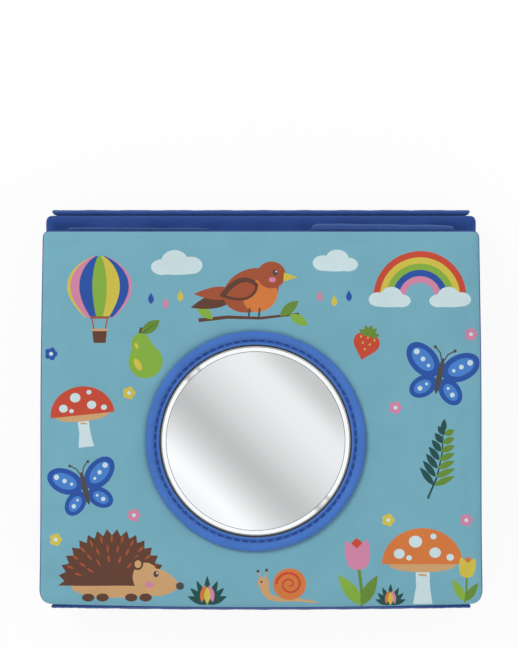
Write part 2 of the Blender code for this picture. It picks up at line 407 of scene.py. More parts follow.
inks = {
    "teal": (0.160, 0.385, 0.478), "cobalt": (0.016, 0.075, 0.335), "sky blue": (0.055, 0.200, 0.560),
    "pale": (0.560, 0.700, 0.730), "white": (0.800, 0.810, 0.800), "black": (0.014, 0.014, 0.018),
    "charcoal": (0.062, 0.058, 0.062), "brown": (0.105, 0.040, 0.022), "rust": (0.330, 0.072, 0.028),
    "orange": (0.610, 0.175, 0.040), "red": (0.520, 0.060, 0.030), "yellow": (0.580, 0.480, 0.060),
    "page blue": (0.014, 0.055, 0.245), "pink": (0.590, 0.215, 0.350), "tan": (0.560, 0.330, 0.150),
    "leaf": (0.210, 0.390, 0.045), "moss": (0.120, 0.235, 0.030), "vein": (0.045, 0.110, 0.015),
    "fern": (0.010, 0.065, 0.062),
}


def moved(points, x, y, turn=0.0, size=1.0, flip=1):
    """Drawn points that are sized, flipped and turned, and brought to a place."""
    cosine = math.cos(math.radians(turn)) * size
    sine = math.sin(math.radians(turn)) * size
    return [(x + flip * u * cosine - v * sine, y + flip * u * sine + v * cosine) for u, v in points]


def arc(across, up, start, end, count):
    """Points along an ellipse between two angles."""
    angles = [math.radians(start + (end - start) * k / count) for k in range(count + 1)]
    return [(across * math.cos(angle), up * math.sin(angle)) for angle in angles]


def oval(ink, x, y, across, up, turn=0.0, start=0.0, end=360.0, count=32):
    """An ellipse, or the part of it between two angles, turned about its centre."""
    line = arc(across, up, start, end, count)
    return ink, moved(line[:-1] if end - start >= 360 else line, x, y, turn)


def dot(ink, x, y, radius, count=14):
    """A small round."""
    return oval(ink, x, y, radius, radius, count=count)


def leaf(ink, x, y, length, width, turn, blunt=1.0, count=14):
    """A pointed leaf or petal that grows from a point; blunt above 1 puts its belly further out."""
    upper = [(0, 0)]
    for share in (k / count for k in range(1, count)):
        upper.append((length * share, width / 2 * math.sin(math.pi * share ** blunt) ** 0.85))
    upper.append((length, 0))
    return ink, moved(upper + [(u, -v) for u, v in upper[-2:0:-1]], x, y, turn)


def trail(ink, path, width, tip=1.0):
    """A line of even width along a path, or one that narrows to a share of it at its end."""
    left = []
    right = []
    for k, (x, y) in enumerate(path):
        ahead = path[min(k + 1, len(path) - 1)]
        behind = path[max(k - 1, 0)]
        slope = math.atan2(ahead[1] - behind[1], ahead[0] - behind[0])
        half = width / 2 * (1 + (tip - 1) * k / (len(path) - 1))
        left.append((x - half * math.sin(slope), y + half * math.cos(slope)))
        right.append((x + half * math.sin(slope), y - half * math.cos(slope)))
    return ink, left + right[::-1]


def placed(shapes, x, y, size=1.0, turn=0.0, flip=1):
    """A motif moved to its place in the print, in millimetres from the panel's middle."""
    return [(ink, moved(line, x, y, turn, size, flip)) for ink, line in shapes]


def gathered(*motifs):
    """Motifs, each with what placed takes, as one list of shapes."""
    return [shape for motif in motifs for shape in placed(*motif)]


def tulip(bloom, heart):
    """A tulip with two leaves."""
    return [trail("moss", [(0, -15), (0.6, -8), (0.3, -2), (0, 4)], 1.3),
            leaf("leaf", 0.2, -14, 16, 5.5, 124, 0.8), leaf("moss", 0.2, -14, 14, 5, 58, 0.8),
            leaf(heart, 0, 1, 13, 8, 90, 1.1), leaf(bloom, 0.4, 1, 13, 6.6, 112, 0.8),
            leaf(bloom, -0.4, 1, 13, 6.6, 68, 0.8), oval(bloom, 0, 4.2, 4.6, 3.6)]


def toadstool(cap, spot):
    """A toadstool with a spotted cap."""
    stem = [(-3.2, -14), (3.6, -14), (2.6, -8), (2.4, 0), (-2.4, 0), (-2.2, -8)]
    spots = ((-8, 3.6, 1.9), (-2.4, 7.8, 2.3), (4.4, 4.0, 2.0), (9.6, 2.4, 1.3), (3.8, 9.6, 1.1), (-4.6, 2.2, 1.0))
    shapes = [("pale", stem), oval("tan", 0, -0.2, 11.5, 2.6), oval(cap, 0, 0, 14, 12.5, 0, 0, 180)]
    shapes += [oval(spot, x, y, radius, radius * 0.9, count=18) for x, y, radius in spots]
    return shapes + [trail("tan", [(-1.4, -3.6), (1.4, -3.9)], 0.7)]


def butterfly(wing, spot):
    """A butterfly with spotted wings."""
    shapes = []
    for side in (-1, 1):
        shapes += [oval(wing, 8.0 * side, 5.2, 8.6, 5.6, 36 * side),
                   oval(wing, 5.8 * side, -5.6, 6.2, 4.4, -42 * side),
                   oval("sky blue", 8.2 * side, 5.4, 5.9, 3.4, 36 * side),
                   oval("sky blue", 6.0 * side, -5.8, 3.9, 2.5, -42 * side)]
        for x, y, radius in ((11.4, 8.0, 1.2), (8.2, 5.5, 1.0), (5.4, 3.3, 0.7),
                             (6.9, -6.7, 1.0), (4.6, -4.4, 0.6)):
            shapes.append(dot(spot, x * side, y, radius, 16))
        shapes.append(trail("charcoal", [(0.3 * side, 6), (1.6 * side, 9.4), (4.0 * side, 11.4)], 0.55))
        shapes.append(dot("charcoal", 4.2 * side, 11.5, 0.7, 12))
    return shapes + [oval("charcoal", 0, 0, 1.25, 7.6)]


def cloud(ink="pale"):
    """A cloud of overlapping rounds."""
    return [oval(ink, -7.5, -0.6, 5.4, 3.8), oval(ink, -1.6, 2.2, 6.4, 5.4), oval(ink, 6.2, 0.2, 5.6, 4.2),
            oval(ink, -0.7, -2.4, 10.4, 2.0)]


def rainbow():
    """A rainbow that ends in two small clouds."""
    shapes = []
    for k, ink in enumerate(("red", "yellow", "leaf", "cobalt", "pink")):
        outer = 17 - 2.3 * k
        inner = 14.7 - 2.3 * k
        shapes.append((ink, arc(outer, outer, 0, 180, 26) + arc(inner, inner, 180, 0, 26)))
    return shapes + gathered((cloud(), -11.4, -0.8, 0.62, 0, -1), (cloud(), 11.4, -0.8, 0.62))


def balloon():
    """A striped balloon with its basket."""
    stripes = ("yellow", "pink", "cobalt", "leaf", "yellow", "cobalt", "pink")
    steps = [k / 18 for k in range(19)]

    def edge(across, share):
        wide = math.sin(math.pi * (0.04 + 0.84 * share ** 0.85)) ** 0.8
        return 12.5 * wide * math.sin(across * math.pi / 2), 15 - 23.5 * share

    shapes = [trail("rust", [(-3.2, -8), (-2.0, -14)], 0.5), trail("rust", [(3.2, -8), (2.0, -14)], 0.5)]
    for k, ink in enumerate(stripes):
        low = -1 + 2 * k / len(stripes)
        high = low + 2 / len(stripes)
        shapes.append((ink, [edge(high, share) for share in steps]
                       + [edge(low, share) for share in steps[::-1]]))
    return shapes + [("brown", [(-2.9, -13.4), (2.9, -13.4), (2.3, -18.4), (-2.3, -18.4)]),
                     trail("tan", [(-3.1, -13.4), (3.1, -13.4)], 0.9),
                     trail("rust", [(-3.6, -8.6), (3.6, -8.6)], 0.9)]


def hedgehog():
    """A hedgehog that walks to the right."""

    def on_back(reach, angle):
        return -3 + 20 * reach * math.cos(angle), -9 + 21 * reach * math.sin(angle)

    back = [on_back(1.0 if k % 2 else 1.13, math.pi * k / 34) for k in range(35)]
    shapes = [oval("tan", -2, -9.5, 18, 4.6), ("brown", back)]
    for reach, count, shift in ((0.86, 11, 0), (0.66, 9, 0.5), (0.46, 6, 0)):
        for k in range(count):
            turn = 24 + 146 * (k + shift) / count
            shapes.append(leaf("rust", *on_back(reach, math.radians(turn)), 3.4, 1.0, turn))
    shapes += [leaf("tan", 8, -6.5, 18, 11.5, -9, 0.8), oval("tan", 11, -5.4, 5.4, 6.0),
               oval("brown", 7.6, 0.2, 2.5, 2.7), oval("tan", 7.8, 0.0, 1.4, 1.6),
               oval("charcoal", 25.4, -9.2, 1.7, 1.6), oval("charcoal", 15.4, -4.2, 1.1, 1.3),
               dot("white", 15.8, -3.8, 0.35, 10), oval("pink", 12.6, -8.6, 1.9, 1.3)]
    return shapes + [oval("brown", x, -14.0, 2.6, 1.7) for x in (-13, -7, 5, 11)]


def snail():
    """A snail with a curled shell."""
    curl = [(-2.4 + (7.6 - 0.155 * k) * math.cos(k * 0.26), 0.4 + (7.2 - 0.15 * k) * math.sin(k * 0.26))
            for k in range(45)]
    return [trail("tan", [(12.4, 1.4), (11.4, -3.4), (9, -7.0), (4, -8.2), (-8, -8.6), (-18, -10.2)], 5.6, 0.15),
            oval("tan", 12.6, 1.4, 3.3, 3.1), trail("tan", [(11.6, 3.4), (10.8, 8.0)], 0.8),
            trail("tan", [(13.8, 3.2), (15.4, 7.4)], 0.8), dot("charcoal", 10.7, 8.4, 0.9),
            dot("charcoal", 15.6, 7.8, 0.9), oval("orange", -2.4, 0.4, 9.4, 9.0),
            trail("red", curl, 1.5, 0.5), oval("charcoal", 13.6, 1.8, 0.6, 0.7, count=12)]


def bird():
    """A round bird on a twig."""
    shapes = [trail("brown", [(-22, -12.5), (-10, -11.2), (4, -11.6), (20, -9.8)], 1.6, 0.6),
              leaf("moss", 12, -10.8, 10, 4.2, 40), leaf("leaf", 16, -10, 9, 4, -30),
              leaf("leaf", -16, -12, 9, 4, 140), leaf("brown", -7, -2, 19, 6.4, 196, 0.7),
              leaf("rust", -7, -1, 17, 5.6, 182, 0.7),
              oval("rust", 0, 0, 12.0, 8.8, 22), oval("orange", 3.8, -2.2, 7.6, 6.4, 38),
              oval("rust", 8.4, 6.4, 6.0, 5.6), leaf("brown", 3, 2.4, 17, 9.4, 196, 0.75),
              leaf("rust", 1.6, 1.6, 12.5, 6.2, 197, 0.75), ("yellow", [(13.6, 7.4), (19.4, 5.4), (13.4, 3.6)]),
              oval("charcoal", 10.0, 7.4, 1.1, 1.2, count=18), dot("white", 10.4, 7.8, 0.35, 10),
              oval("pink", 8.8, 4.4, 1.5, 1.1, count=18)]
    return shapes + [trail("charcoal", [(x, -7.4), (x - 0.5, -11.4)], 0.8) for x in (-0.6, 3.6)]


def pear():
    """A pear with one leaf."""
    return [trail("brown", [(0.2, 8), (0.8, 11), (2.2, 13.4)], 1.3), leaf("moss", 1.0, 10.2, 12, 5.6, 22),
            trail("vein", [(1.6, 10.4), (10.6, 14.0)], 0.5, 0.3),
            oval("leaf", 0, -4, 8.8, 8.6), oval("leaf", 0, 4.4, 5.2, 6.4), oval("leaf", 0, 0.4, 6.6, 6.4),
            oval("yellow", -4.2, -4.6, 1.6, 3.4, 14), oval("yellow", -2.6, 4.8, 0.8, 1.7, 8)]


def strawberry():
    """A strawberry with its seeds and green cap."""
    shapes = [leaf("red", 0, -11, 20, 17.5, 90, 1.35), oval("red", 0, 2.2, 8.6, 5.4)]
    for x, y in ((-4.6, 3), (0, 3.4), (4.6, 3), (-2.4, -0.6), (2.4, -0.6), (0, -4.4)):
        shapes.append(leaf("yellow", x, y, 1.9, 1.1, 90))
    shapes += [leaf("moss", 0, 5.6, 7.4, 3.4, turn) for turn in (20, 58, 90, 122, 160)]
    return shapes + [trail("moss", [(0, 7), (0.8, 12)], 1.1)]


def sprig():
    """A sprig of dark green fern."""
    shapes = [trail("fern", [(0, -16), (1.6, -6), (1.2, 4), (-0.6, 13)], 0.9, 0.5)]
    for k in range(7):
        for ink, turn in (("fern", 142), ("moss", 38)):
            shapes.append(leaf(ink, 1.2 - 0.14 * k, -10 + 3.6 * k, 9.6 - 0.85 * k, 2.7, turn, 0.9))
    return shapes + [leaf("fern", -0.4, 12, 6, 2.4, 98)]


def tuft():
    """A tuft of grass with two buds."""
    blades = [leaf("fern", 0, -5, 13 - abs(turn - 90) * 0.05, 3.2, turn, 0.85)
              for turn in (22, 44, 66, 90, 114, 136, 158)]
    return blades + [leaf("orange", -2.6, -4, 8, 2.8, 78), leaf("pink", 2.6, -4, 8, 2.8, 102),
                     leaf("yellow", 0, -5, 8, 2.8, 90)]


def cover_print():
    """The cover's scattered picture: garden things round the mirror, on teal."""
    shapes = gathered(
        (balloon(), -66, 50, 1.06), (cloud(), -34, 62, 0.85), (bird(), -4, 52, 0.98),
        (cloud(), 30, 63, 0.75, 0, -1), (rainbow(), 65, 49, 1.12), (toadstool("red", "pale"), -73, 1, 0.94, 6),
        (pear(), -48, 26, 0.8, 14),
        (butterfly("cobalt", "pale"), 73, 17, 0.98, -12), (strawberry(), 43, 30, 0.62, -16),
        (butterfly("cobalt", "pale"), -72, -29, 0.9, 14), (sprig(), 72, -18, 0.98, -14),
        (hedgehog(), -58, -60, 0.98), (tuft(), -22, -72, 0.9), (snail(), 10, -68.5, 0.72, 0, -1),
        (tulip("pink", "red"), 40, -63, 0.98, 4), (toadstool("orange", "pale"), 66, -60, 1.18),
        (tulip("yellow", "orange"), 84, -66, 0.66, -4), (tuft(), 53, -73.5, 0.7))
    drops = ((-45, 51, "cobalt"), (-39, 49, "pink"), (-33, 52, "yellow"), (36, 52, "cobalt"), (30, 50, "yellow"),
             (24, 52, "pink"))
    shapes += [leaf(ink, x, y, 4.6, 2.4, -90, 1.3) for x, y, ink in drops]
    for x, y, ink in ((-52, -40, "pink"), (52, -42, "yellow"), (55, 4, "pink"), (-54, 10, "yellow"),
                      (86, 34, "pink"), (-86, 26, "cobalt"), (-84, -50, "yellow"), (84, -42, "pink")):
        shapes += [dot(ink, x + u, y + v, 1.2) for u, v in arc(1.5, 1.5, 0, 360, 5)[:-1]]
        shapes.append(dot("pale", x, y, 0.8, 12))
    return [("teal", None)] + shapes


sun = [leaf("yellow", -26, 0, 19, 5, 24 * k) for k in range(15)]
sun += [dot("orange", -26, 0, 10, 48), dot("yellow", -26, 0, 8, 48)]
target = [dot(ink, -28, 0, radius, 48) for ink, radius in
          (("white", 18), ("black", 14.5), ("white", 11), ("black", 7.5), ("orange", 4))]
moon = [dot("white", -28, 0, 15, 48), dot("black", -21, 3, 12.5, 40)]
moon += [dot("white", x, y, 1.6, 12) for x, y in ((-4, 14), (4, -8), (14, 12), (-46, 16), (48, -12))]
zigzag = [trail("black", [(-48 + k / 2, y + 3.2 * math.sin(k * 0.225)) for k in range(93)], 2.4)
          for y in (13, 3, -7)]
# Page pictures about their middles: the ink of each one's ground, and its shapes, at most 100 by 42 mm.
page_pictures = {
    "sunset": ("orange", sun + gathered((hedgehog(), 25, -1, 0.95))),
    "night": ("black", target + gathered((toadstool("white", "black"), 12, 0, 1.1),
                                         (tulip("white", "white"), 38, -3, 1.1))),
    "moon": ("black", moon + gathered((butterfly("white", "black"), 30, 1, 1.15, 10))),
    "sky": ("pale", gathered((bird(), -22, 2, 0.95), (cloud("white"), 20, 10, 0.8),
                             (cloud("white"), 40, -8, 0.7, 0, -1), (strawberry(), 18, -10, 0.6))),
    "forest": ("fern", gathered((sprig(), -42, 0, 0.9, 8), (tuft(), -20, -14, 1.4), (pear(), 2, 0, 0.8, 8),
                                (sprig(), 24, 0, 0.9, -10), (toadstool("red", "pale"), 44, -2, 0.8))),
    "zigzag": ("white", zigzag + gathered((snail(), 26, -2, 1.25))),
    "meadow": ("leaf", gathered((butterfly("cobalt", "pale"), -28, 2, 1.2, 8), (tulip("pink", "red"), 0, -2, 1.1),
                                (tulip("yellow", "orange"), 20, -4, 1.0), (balloon(), 42, 0, 0.8))),
}


def page_print(panel, titles, up=1):
    """A cobalt page with wide round-cornered pictures, one above the other, or all upside down."""
    side_border = 7.0
    turned_border = 9.0
    between = 5.0
    corner = 4.0
    drawn_half_up = 22
    largest_size = 1.5
    half_across = panel.half_x * 1000 - side_border
    top = panel.half_y * 1000 - turned_border
    half_up = (2 * top - between * (len(titles) - 1)) / len(titles) / 2
    shapes = []
    for place, title in enumerate(titles):
        middle = top - half_up - place * (2 * half_up + between)
        ground, picture = page_pictures[title]
        frame_line = []
        for quarter, (sign_x, sign_y) in enumerate(((1, 1), (-1, 1), (-1, -1), (1, -1))):
            frame_line += moved(arc(corner, corner, 90 * quarter, 90 * quarter + 90, 8),
                                sign_x * (half_across - corner), middle + sign_y * (half_up - corner))
        shapes.append((ground, frame_line))
        shapes += placed(picture, 0, middle, min(half_up / drawn_half_up, largest_size))
    return [("page blue", None)] + [(ink, [(up * x, up * y) for x, y in line]) for ink, line in shapes]


def printed(cloth, shapes, side):
    """Print a face cloth. Its mesh is cut along every outline of the picture, laid out flat, and each
    face between the outlines takes the ink of the topmost shape over it. Long straight lines get points
    along them, so that they follow the padding's swell."""
    mesh = cloth.data
    plan = np.zeros(len(mesh.vertices) * 3, np.float32)
    mesh.attributes["plan"].data.foreach_get("vector", plan)
    corners = [tuple(face.vertices) for face in mesh.polygons]
    places = [vertex.co.copy() for vertex in mesh.vertices]
    flat = [Vector((float(x), float(y), 0.0)) for x, y, z in plan.reshape(-1, 3)]
    flat_tree = BVHTree.FromPolygons(flat, corners)
    onward = {}
    seen = {(a, b) for face in corners for a, b in zip(face, face[1:] + face[:1])}
    for a, b in seen:
        if (b, a) not in seen:
            onward[a] = b
    outline = [next(iter(onward))]
    while onward[outline[-1]] != outline[0]:
        outline.append(onward[outline[-1]])
    points = [point.xy for point in flat]
    areas = [outline if side > 0 else outline[::-1]]
    colours = [inks[shapes[0][0]]]
    for ink, line in shapes[1:]:
        drawn = [Vector((x / 1000, side * y / 1000)) for x, y in line]
        line = []
        for a, b in zip(drawn, drawn[1:] + drawn[:1]):
            steps = max(math.ceil((b - a).length / cell), 1)
            line += [a.lerp(b, k / steps) for k in range(steps)]
        turn = sum(a.x * b.y - a.y * b.x for a, b in zip(line, line[1:] + line[:1]))
        areas.append(list(range(len(points), len(points) + len(line)))[::1 if turn > 0 else -1])
        points += line
        colours.append(inks[ink])
    inside_areas = 1
    merge_distance = 1e-5
    spots, _, faces, sources, _, covers = delaunay_2d_cdt(points, [], areas, inside_areas, merge_distance)
    laid = []
    for spot, source in zip(spots, sources):
        known = [index for index in source if index < len(places)]
        if known:
            laid.append(places[known[0]])
            continue
        on_plan, _, index, _ = flat_tree.find_nearest(Vector((spot.x, spot.y, 0.0)))
        shares = poly_3d_calc([flat[corner] for corner in corners[index]], on_plan)
        laid.append(sum((places[corner] * share for corner, share in zip(corners[index], shares)), Vector()))
    first, second, third = (spots[index] for index in faces[0][:3])
    order = side if (second - first).cross(third - first) > 0 else -side
    kept = [(face[::order], max(cover)) for face, cover in zip(faces, covers) if 0 in cover]
    paper = bpy.data.meshes.new(mesh.name)
    paper.from_pydata(laid, [], [face for face, top in kept])
    ink = paper.color_attributes.new("ink", "FLOAT_COLOR", "CORNER")
    tones = [value for face, top in kept for corner in face for value in (*colours[top], 1.0)]
    ink.data.foreach_set("color", np.array(tones, np.float32))
    bm = bmesh.new()
    bm.from_mesh(paper)
    bmesh.ops.delete(bm, geom=[v for v in bm.verts if not v.link_faces], context="VERTS")
    bm.to_mesh(paper)
    bm.free()
    paper.update()
    cloth.data = paper


def copy_of(body, name):
    """A second object with the body's mesh."""
    obj = body.copy()
    obj.data = body.data.copy()
    obj.name = name
    obj.data.name = name
    scene.collection.objects.link(obj)
    return obj


def take_group(body, group, name, finish, shapes=None):
    """One cloth of a panel: its faces of the body, printed, and given the thickness of cloth inwards."""
    obj = copy_of(body, name)
    bm = bmesh.new()
    bm.from_mesh(obj.data)
    bmesh.ops.delete(bm, geom=[f for f in bm.faces if f.material_index != group], context="FACES")
    for face in bm.faces:
        face.material_index = 0
    bm.to_mesh(obj.data)
    bm.free()
    if shapes is not None:
        printed(obj, shapes, 1 - group)
    obj.data.materials.clear()
    obj.data.materials.append(finish)
    solid = obj.modifiers.new("cloth", "SOLIDIFY")
    solid.thickness = cloth_thickness
    solid.offset = -1
    apply_modifiers(obj)
    obj.data.shade_smooth()
    obj.data.set_sharp_from_angle(angle=math.radians(cloth_crease_degrees))
    return obj


def padding_inside(body, name, finish):
    """The padding itself: the panel's form, drawn in by the cloth's thickness."""
    obj = copy_of(body, name)
    normals = np.array([v.normal for v in obj.data.vertices])
    places = np.array([v.co for v in obj.data.vertices]) - normals * padding_inset
    obj.data.vertices.foreach_set("co", places.astype(np.float32).ravel())
    obj.data.polygons.foreach_set("material_index", np.zeros(len(obj.data.polygons), np.int32))
    obj.data.materials.clear()
    obj.data.materials.append(finish)
    obj.data.update()
    return obj


def weave_group():
    """Plain weave as a node group: height of the threads and a slow unevenness of the dye."""
    group = bpy.data.node_groups.new("plain weave", "ShaderNodeTree")
    for label, way in (("Threads per metre", "INPUT"), ("Unevenness scale", "INPUT"),
                       ("Thread height", "OUTPUT"), ("Unevenness", "OUTPUT")):
        group.interface.new_socket(name=label, in_out=way, socket_type="NodeSocketFloat")
    given = add_node(group, "NodeGroupInput").outputs
    where = add_node(group, "ShaderNodeTexCoord").outputs["Object"]
    axes = add_node(group, "ShaderNodeSeparateXYZ", {"Vector": where})
    waves = []
    for axis in ("X", "Y"):
        slanted = maths(group, "ADD", axes.outputs[axis], axes.outputs["Z"])
        waves.append(maths(group, "SINE", maths(group, "MULTIPLY", slanted, given["Threads per metre"])))
    cloudy = add_node(group, "ShaderNodeTexNoise",
                      {"Vector": where, "Scale": given["Unevenness scale"], "Detail": 4, "Roughness": 0.6})
    add_node(group, "NodeGroupOutput",
             {"Thread height": maths(group, "MULTIPLY", *waves), "Unevenness": cloudy})
    return group


plain_weave = weave_group()


def woven(name, colour, threads=9500.0, bump=0.00006, variation=0.10, sheen=0.12, ink=None):
    """A woven cloth: fine crossing threads, a slightly uneven dye and a soft sheen. It is painted a little
    darker where the threads lie lower, as painted shade in the weave's hollows.
    With ink, the colour comes from that colour attribute of the mesh."""
    made, tree, shader = principled(name, colour, 0.82)
    weave = add_node(tree, "ShaderNodeGroup", {"Threads per metre": threads, "Unevenness scale": 55.0},
                     node_tree=plain_weave)
    height = weave.outputs["Thread height"]
    shade = add_node(tree, "ShaderNodeMapRange", {"Value": weave.outputs["Unevenness"], "From Min": 0.3,
                     "From Max": 0.7, "To Min": 1 - variation, "To Max": 1 + variation * 0.6})
    # The colour is scaled by the thread height as well as the uneven dye: painted shade, a little darker where the
    # threads lie lower.
    thread = maths(tree, "MULTIPLY_ADD", height, 0.035, shade)
    dye = add_node(tree, "ShaderNodeAttribute", attribute_name=ink) if ink else colour
    dyed = add_node(tree, "ShaderNodeVectorMath", {0: dye, "Scale": thread}, operation="SCALE")
    relief = add_node(tree, "ShaderNodeBump", {"Strength": 0.35, "Distance": bump, "Height": height})
    set_inputs(shader, {"Sheen Weight": sheen, "Sheen Roughness": 0.5, "Specular IOR Level": 0.3,
                        "Base Color": dyed, "Normal": relief})
    return made


printed_cloth = woven("printed cloth", (0.160, 0.385, 0.470), variation=0.05, ink="ink")
cobalt_cloth = woven("cobalt cloth", (0.018, 0.067, 0.265))
soft_padding = woven("white padding", (0.80, 0.79, 0.76), threads=2500.0, bump=0.0002, variation=0.05)


def make_panel(title, panel, upper, lower, padding_nodes, still=None, recess=None):
    """Blow up one panel's form and lay its band and its two face cloths over its padding. Each face has
    its node, its slot name, which is not used, and its picture."""
    body_name = title + "_panel"
    band = (title + "_edge_band", "cobalt_cloth", None)
    form, seam = panel_body(title + "_form", panel)
    blow_up(form, seam, panel, still)
    if recess is not None:
        recess(form)
    form.data.transform(Matrix.Translation((panel.x, panel.y, panel.z)))
    padding = padding_inside(form, title + "_padding", soft_padding)
    smoothed(form)
    for group, (node, slot_name, shapes) in enumerate((upper, band, lower)):
        finish = cobalt_cloth if shapes is None else printed_cloth
        cloth = take_group(form, group, node + "_sewn", finish, shapes)
        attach(cloth, body_name)
        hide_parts(node)
    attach(padding, body_name)
    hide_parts(*padding_nodes)
    bpy.data.objects.remove(form)


def from_mirror(point):
    """How far a point of the cover's form lies from the mirror's middle."""
    return math.hypot(point[0] + cover_panel.x - mirror_middle[0], point[1] + cover_panel.y - mirror_middle[1])


def in_window(point):
    """Whether a point of the cover's form lies behind the mirror or its ring."""
    return point[2] > 0 and from_mirror(point) < ring_radius + cell


def sink_window(form):
    """Press the form in behind the mirror, so that the mirror has its room."""
    for vertex in form.data.vertices:
        if vertex.co.z > 0:
            share = min(max((window_radius + cell - from_mirror(vertex.co)) / cell, 0), 1)
            vertex.co.z += window_floor * share


cover_panel = Panel("cover_front_cloth", "cover_edge_band", 1, lip=0.0021)
make_panel("cover", cover_panel, ("cover_front_cloth", "teal_cloth", cover_print()),
           ("cover_inner_page", "page_cloth", page_print(cover_panel, ("zigzag", "meadow"))),
           ["cover_foam"], in_window, sink_window)

# Mirror: a disc of silvered acrylic, a little bowed, with a polished bevel round its rim. It is held
# behind the cover's cloth by a thin flange, and a padded blue binding is sewn down round it.
rim_radius = 0.0385
bevel_width = 0.0020
bevel_step = 0.00022
bevel_drop = 0.00035
bevel_round = 0.0002
flange_drop = 0.0017
mirror_bow = 0.00035
steps_round = 144


def turned(name, profile, steps, centre, closed, wave=None):
    """A round piece from a profile of radius and height, open on the axis or a closed loop."""
    rings = []
    points = []
    for radius, height in profile:
        if radius < 1e-7:
            rings.append([len(points)] * steps)
            points.append((centre[0], centre[1], height))
            continue
        ring = []
        for i in range(steps):
            angle = 2 * math.pi * i / steps
            out, up = wave(radius, height, angle) if wave else (radius, height)
            ring.append(len(points))
            points.append((centre[0] + out * math.cos(angle), centre[1] + out * math.sin(angle), up))
        rings.append(ring)
    pairs = list(zip(rings, rings[1:]))
    if closed:
        pairs.append((rings[-1], rings[0]))
    faces = []
    for one, other in pairs:
        for i in range(steps):
            j = (i + 1) % steps
            corners = [one[i], other[i], other[j], one[j]]
            face = [c for k, c in enumerate(corners) if c not in corners[:k]]
            if len(face) > 2:
                faces.append(face)
    return mesh_object(name, points, faces, closed=True)


mirror_finish, mirror_tree, mirror_shader = principled("silvered acrylic", (0.86, 0.87, 0.88), 0.035, 1.0)
mirror_where = add_node(mirror_tree, "ShaderNodeTexCoord").outputs["Object"]
smudges = add_node(mirror_tree, "ShaderNodeTexNoise", {"Vector": mirror_where, "Scale": 26.0, "Detail": 5.0})
smudge_range = add_node(mirror_tree, "ShaderNodeMapRange", {"Value": smudges, "From Min": 0.35,
                        "From Max": 0.75, "To Min": 0.015, "To Max": 0.05})
set_inputs(mirror_shader, {"Coat Weight": 0.25, "Coat Roughness": 0.06, "Roughness": smudge_range})

face_z = mirror_high[2]
face_radius = rim_radius - bevel_width
mirror_profile = [(face_radius * k / 12, face_z - mirror_bow * (k / 12) ** 2) for k in range(13)]
bevel_top = face_z - mirror_bow - bevel_step
bevel_foot = bevel_top - bevel_drop
flange_z = face_z - flange_drop
flange_radius = (mirror_high[0] - mirror_low[0]) / 2
mirror_profile += [(face_radius + bevel_round, bevel_top), (rim_radius - bevel_round, bevel_foot),
                   (rim_radius, bevel_foot - bevel_round), (rim_radius, flange_z),
                   (flange_radius, flange_z), (flange_radius, mirror_low[2]), (0, mirror_low[2])]
mirror = turned("mirror_disc", mirror_profile, steps_round, mirror_middle, closed=False)
mirror.data.set_sharp_from_angle(angle=math.radians(7))
mirror.data.materials.append(mirror_finish)
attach(mirror, "cover_panel")
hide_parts("mirror_plate")

# Ring: a narrow hem next to the mirror, a stitched groove and a padded roll outside it, one binding
# of blue cloth. Its thread pulls it in a little at each stitch. Under its hem a near-black ring of cloth
# is painted shade: the shadow between the binding and the mirror. Its thread is darker than the binding,
# partly as painted shade in the groove.
ring_inner = 0.0394
hem_middle = 0.0400
hem_half = 0.0006
hem_height = 0.0009
hem_foot = 0.00025
pad_middle = 0.0434
pad_half = 0.0017
ring_height = ring_high[2] - ring_low[2]
stitch_pitch = 0.0034
groove_height = 0.00035
groove_radius = (hem_middle + hem_half + pad_middle - pad_half) / 2
stitch_count = round(2 * math.pi * groove_radius / stitch_pitch)
pucker_in = 0.00008
pucker_down = 0.00007
slow_out = 0.00012
slow_down = 0.00004


def ring_wave(radius, height, angle):
    """Small puckers, one to each stitch, and the slow unevenness of a hand-fed seam."""
    pucker = math.cos(stitch_count * angle)
    slow = math.sin(3 * angle + 0.7) + 0.6 * math.sin(7 * angle + 2.1)
    over = (height - ring_low[2]) / ring_height
    outer = max(radius - pad_middle, 0) / pad_half
    return (radius + outer * (pucker_in * pucker + slow_out * slow),
            height - over * (pucker_down * (1 - pucker) + slow_down * slow))


def half_round(middle, half, height, power, count):
    """Points over a rounded top of the ring, from its inner foot to its outer one."""
    angles = [math.pi * (1 - k / count) for k in range(count + 1)]
    return [(middle + half * math.cos(angle), ring_low[2] + height * max(math.sin(angle), 0) ** power)
            for angle in angles]


ring_profile = half_round(hem_middle, hem_half, hem_height, 0.8, 8)[:-1]
ring_profile.append((hem_middle + hem_half, ring_low[2] + hem_foot))
ring_profile += half_round(pad_middle, pad_half, ring_height, 0.75, 14)[1:]
ring = turned("mirror_ring_binding", ring_profile, stitch_count * 6, mirror_middle, closed=True, wave=ring_wave)
ring_cloth = woven("blue binding", (0.048, 0.160, 0.520), threads=8000.0, bump=0.00008, sheen=0.2)
ring.data.materials.append(ring_cloth)
ring.data.set_sharp_from_angle(angle=math.radians(60))
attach(ring, "cover_panel")
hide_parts("mirror_ring")

# The near-black ring under the hem is painted shade: a dark sheet that stands for the shadow between the binding
# and the mirror.
hem_shade_low = flange_z + 0.0001
hem_shade_high = ring_low[2] + 0.0004
hem_shade_inner = rim_radius + 0.0002
hem_shade_outer = ring_inner + 0.0005
hem_shade_profile = [(hem_shade_inner, hem_shade_low), (hem_shade_inner, hem_shade_low + 0.0004),
                  ((rim_radius + ring_inner) / 2, hem_shade_low + 0.0006), (ring_inner - 0.0001, hem_shade_high),
                  (hem_shade_outer, hem_shade_high), (hem_shade_outer, hem_shade_low)]
hem_shade = turned("mirror_ring_hem_shade", hem_shade_profile, steps_round, mirror_middle, closed=True)
hem_shade.data.materials.append(woven("painted hem shade", (0.030, 0.034, 0.042), sheen=0.05))
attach(hem_shade, "cover_panel")


